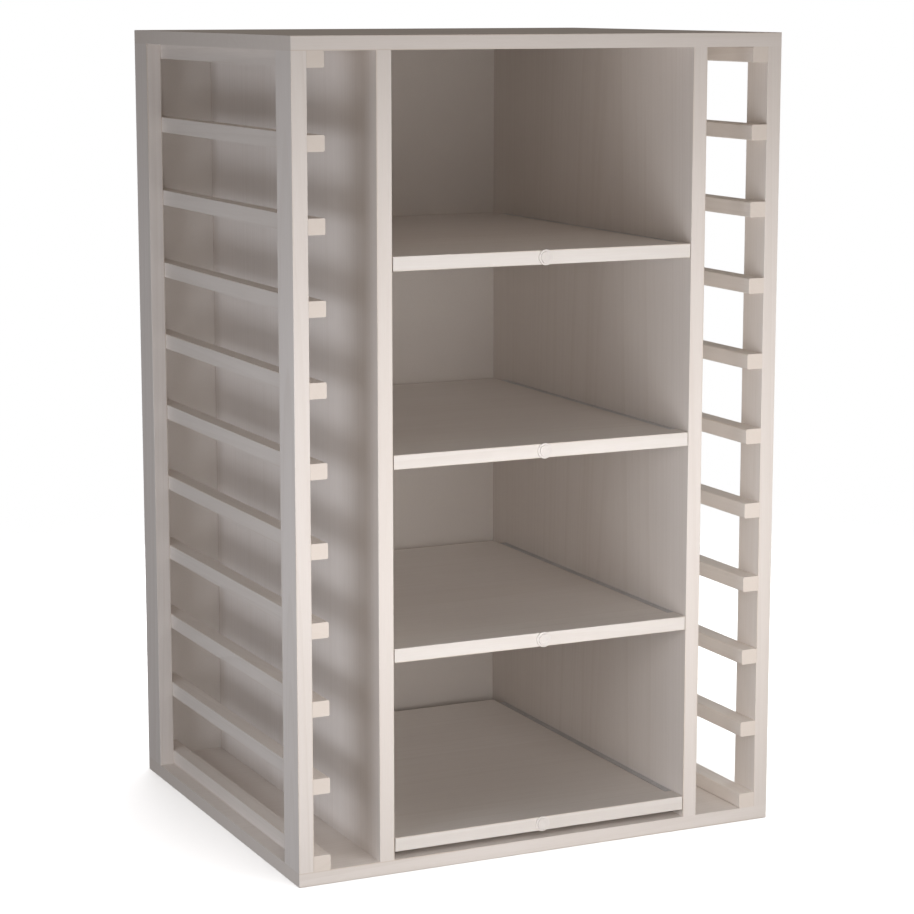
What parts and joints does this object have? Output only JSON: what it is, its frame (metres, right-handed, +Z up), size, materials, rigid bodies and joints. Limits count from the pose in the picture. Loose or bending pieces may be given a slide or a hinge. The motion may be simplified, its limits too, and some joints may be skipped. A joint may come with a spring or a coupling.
{
  "type": "wine rack",
  "caption": "Free-standing white-washed pine wine rack: open side frames of bottle rails either side of a central bay of pull-out crate trays on ball-bearing slides.",
  "frame": {"origin": "centre of the underside of the case, on the floor", "axes": "+Z up, front (tray knobs) faces -Y, +X to the right as seen from the front"},
  "size_m": [0.68, 0.5834, 1.05],
  "materials": {
    "case_pine": "white-washed pine, matt",
    "rail_pine": "white-washed pine battens, matt",
    "tray_pine": "white-painted pine, matt",
    "back_board": "painted hardboard, matt",
    "knob_white": "white-painted turned wood, satin",
    "slide_steel": "zinc-plated pressed steel",
    "cage_steel": "pressed steel cage with bright balls",
    "zinc_fixings": "bright zinc-plated steel",
    "beech_dowels": "plain beech"
  },
  "bodies": {
    "case": {"top_panel": "case_pine", "bottom_panel": "case_pine", "back_panel": "back_board", "left_divider": "case_pine", "right_divider": "case_pine", "front_left_post": "case_pine", "rear_left_post": "case_pine", "front_right_post": "case_pine", "rear_right_post": "case_pine", "left_rail_01": "rail_pine", "left_rail_02": "rail_pine", "left_rail_03": "rail_pine", "left_rail_04": "rail_pine", "left_rail_05": "rail_pine", "left_rail_06": "rail_pine", "left_rail_07": "rail_pine", "left_rail_08": "rail_pine", "left_rail_09": "rail_pine", "left_rail_10": "rail_pine", "left_rail_11": "rail_pine", "right_rail_01": "rail_pine", "right_rail_02": "rail_pine", "right_rail_03": "rail_pine", "right_rail_04": "rail_pine", "right_rail_05": "rail_pine", "right_rail_06": "rail_pine", "right_rail_07": "rail_pine", "right_rail_08": "rail_pine", "right_rail_09": "rail_pine", "right_rail_10": "rail_pine", "right_rail_11": "rail_pine", "cabinet_slides_1": "slide_steel", "cabinet_slides_2": "slide_steel", "cabinet_slides_3": "slide_steel", "cabinet_slides_4": "slide_steel", "slide_screws": "zinc_fixings", "case_screws": "zinc_fixings", "case_dowels": "beech_dowels", "rail_dowels": "beech_dowels", "back_panel_nails": "zinc_fixings"},
    "tray_1": {"tray_1_board": "tray_pine", "tray_1_knob": "knob_white", "tray_1_runners": "slide_steel", "tray_1_fixings": "zinc_fixings"},
    "tray_1_cages": {"tray_1_ball_cages": "cage_steel"},
    "tray_2": {"tray_2_board": "tray_pine", "tray_2_knob": "knob_white", "tray_2_runners": "slide_steel", "tray_2_fixings": "zinc_fixings"},
    "tray_2_cages": {"tray_2_ball_cages": "cage_steel"},
    "tray_3": {"tray_3_board": "tray_pine", "tray_3_knob": "knob_white", "tray_3_runners": "slide_steel", "tray_3_fixings": "zinc_fixings"},
    "tray_3_cages": {"tray_3_ball_cages": "cage_steel"},
    "tray_4": {"tray_4_board": "tray_pine", "tray_4_knob": "knob_white", "tray_4_runners": "slide_steel", "tray_4_fixings": "zinc_fixings"},
    "tray_4_cages": {"tray_4_ball_cages": "cage_steel"}
  },
  "joints": [
    {"name": "tray_1_slide", "type": "slide", "parent": "case", "child": "tray_1", "axis": [0, -1, 0], "range_m": [0, 0.35]},
    {"name": "tray_1_cage_slide", "type": "slide", "parent": "case", "child": "tray_1_cages", "axis": [0, -1, 0], "range_m": [0, 0.175]},
    {"name": "tray_2_slide", "type": "slide", "parent": "case", "child": "tray_2", "axis": [0, -1, 0], "range_m": [0, 0.35]},
    {"name": "tray_2_cage_slide", "type": "slide", "parent": "case", "child": "tray_2_cages", "axis": [0, -1, 0], "range_m": [0, 0.175]},
    {"name": "tray_3_slide", "type": "slide", "parent": "case", "child": "tray_3", "axis": [0, -1, 0], "range_m": [0, 0.35]},
    {"name": "tray_3_cage_slide", "type": "slide", "parent": "case", "child": "tray_3_cages", "axis": [0, -1, 0], "range_m": [0, 0.175]},
    {"name": "tray_4_slide", "type": "slide", "parent": "case", "child": "tray_4", "axis": [0, -1, 0], "range_m": [0, 0.35]},
    {"name": "tray_4_cage_slide", "type": "slide", "parent": "case", "child": "tray_4_cages", "axis": [0, -1, 0], "range_m": [0, 0.175]}
  ],
  "couplings": [
    {"joint": "tray_1_cage_slide", "follows": "tray_1_slide", "ratio": 0.5},
    {"joint": "tray_2_cage_slide", "follows": "tray_2_slide", "ratio": 0.5},
    {"joint": "tray_3_cage_slide", "follows": "tray_3_slide", "ratio": 0.5},
    {"joint": "tray_4_cage_slide", "follows": "tray_4_slide", "ratio": 0.5}
  ]
}
